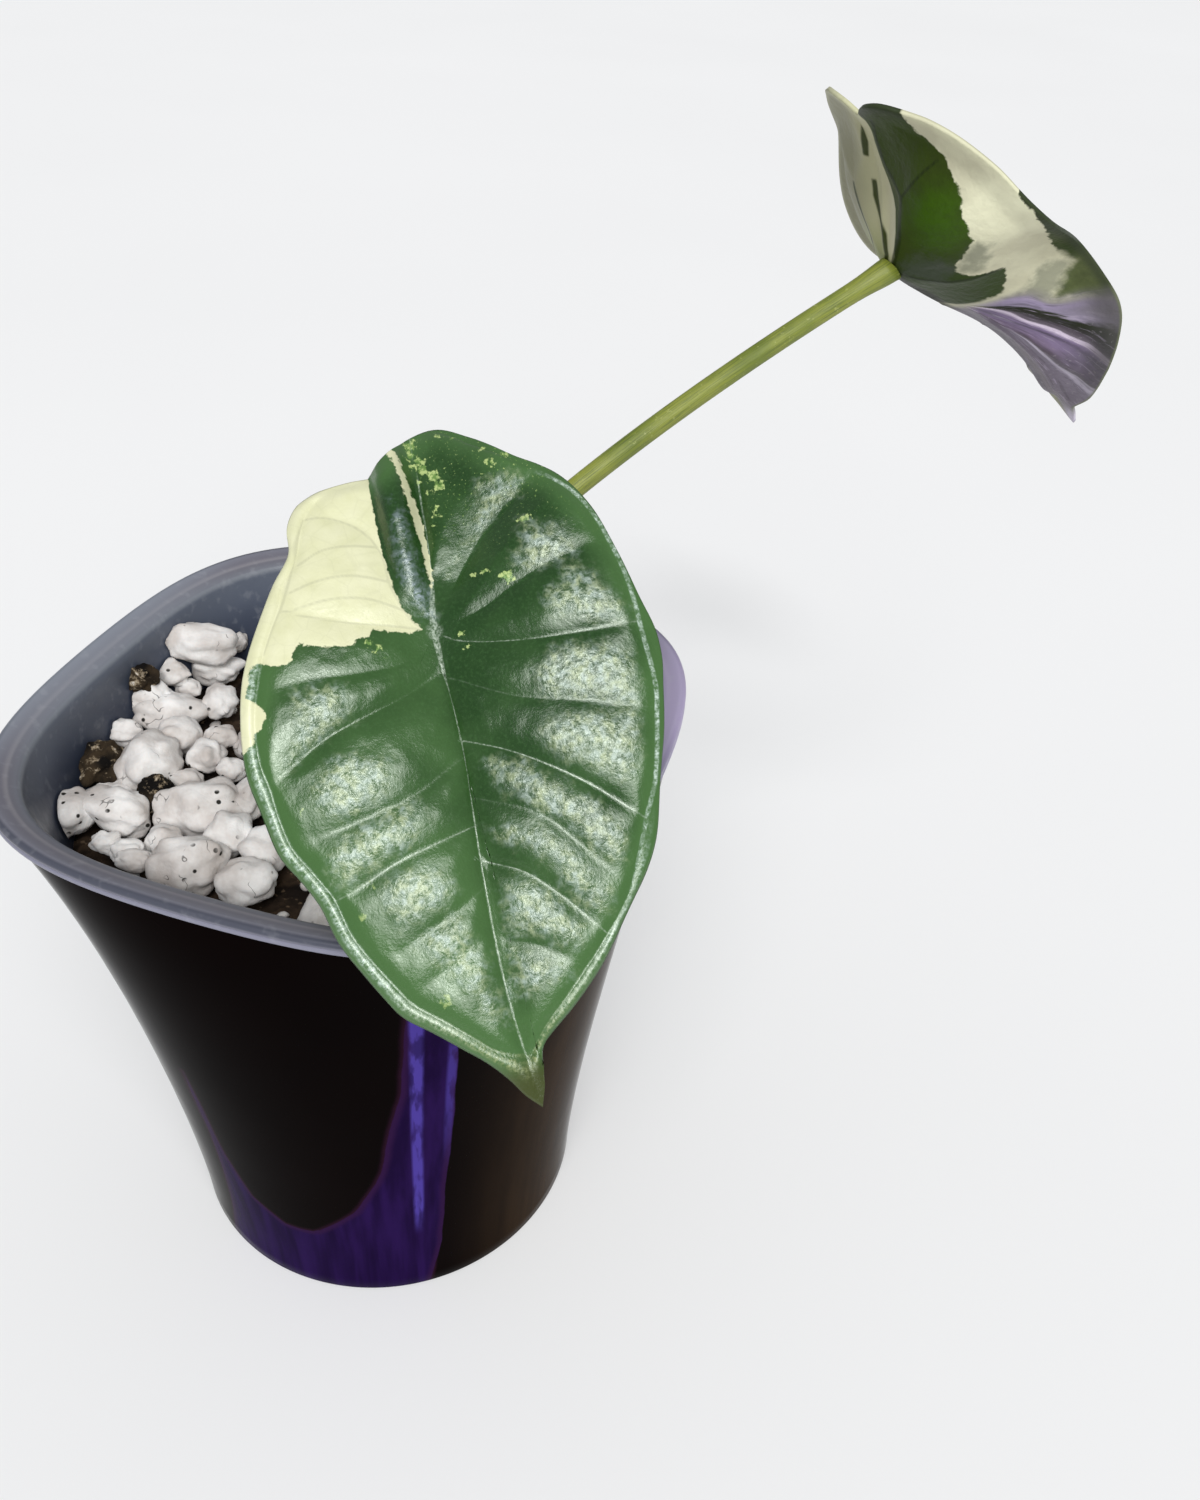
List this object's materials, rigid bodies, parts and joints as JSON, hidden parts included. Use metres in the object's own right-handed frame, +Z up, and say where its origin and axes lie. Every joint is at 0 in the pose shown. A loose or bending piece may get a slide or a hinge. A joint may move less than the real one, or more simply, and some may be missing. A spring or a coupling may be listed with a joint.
{
  "type": "potted alocasia",
  "caption": "Variegated bisma platinum alocasia with shield-shaped leaves on tall stalks, in a glossy square-topped pot with a hanging inner pot of white perlite",
  "frame": {"origin": "centre of the flat underside of the outer pot", "axes": "+Z up out of the pot; the pot's flat sides face X and Y and its corners lie between them; the front leaf hangs toward +X -Y and the back leaf reaches toward +X +Y"},
  "size_m": [0.1696, 0.1796, 0.2124],
  "materials": {
    "outer_pot": "gloss",
    "inner_pot": "satin",
    "growing_mix": "matte",
    "perlite": "matte",
    "crown": "satin",
    "front_stalk": "satin",
    "back_stalk": "satin",
    "front_leaf": "satin",
    "back_leaf": "satin"
  },
  "bodies": {
    "root": {"outer_pot": "outer_pot", "inner_pot": "inner_pot", "growing_mix": "growing_mix", "perlite": "perlite", "crown": "crown", "front_stalk": "front_stalk", "back_stalk": "back_stalk", "front_leaf": "front_leaf", "back_leaf": "back_leaf"}
  },
  "joints": []
}
